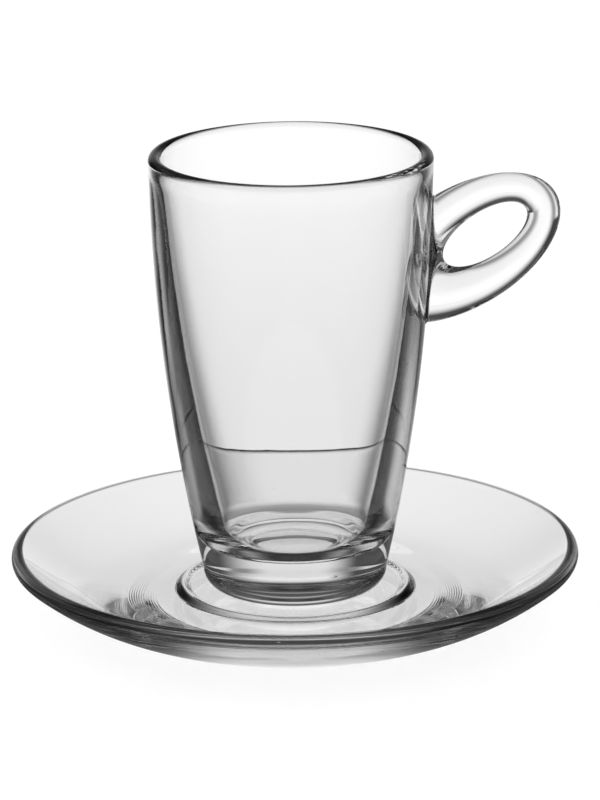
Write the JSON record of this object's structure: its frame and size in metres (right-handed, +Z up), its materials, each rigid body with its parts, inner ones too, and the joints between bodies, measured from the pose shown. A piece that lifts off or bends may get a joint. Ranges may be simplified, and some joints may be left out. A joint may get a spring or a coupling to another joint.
{
  "type": "espresso cup and saucer",
  "caption": "Tall tapered clear glass espresso cup with a slanted oval loop handle, standing in the ringed well of a shallow round glass saucer with a flat foot.",
  "frame": {"origin": "centre of the saucer's foot plane, where the pair stands on a table", "axes": "+Z up along the common axis of cup and saucer, +X towards the cup's handle"},
  "size_m": [0.112, 0.112, 0.0947],
  "materials": {
    "saucer_glass": "clear pressed glass, fire polished",
    "cup_glass": "clear pressed glass, fire polished",
    "handle_glass": "clear pressed glass, fire polished"
  },
  "bodies": {
    "saucer": {"saucer": "saucer_glass"},
    "cup": {"cup_body": "cup_glass", "cup_handle": "handle_glass"}
  },
  "joints": [
    {"name": "cup_lift", "type": "slide", "parent": "saucer", "child": "cup", "axis": [0, 0, 1], "range_m": [0, 0.06]}
  ]
}
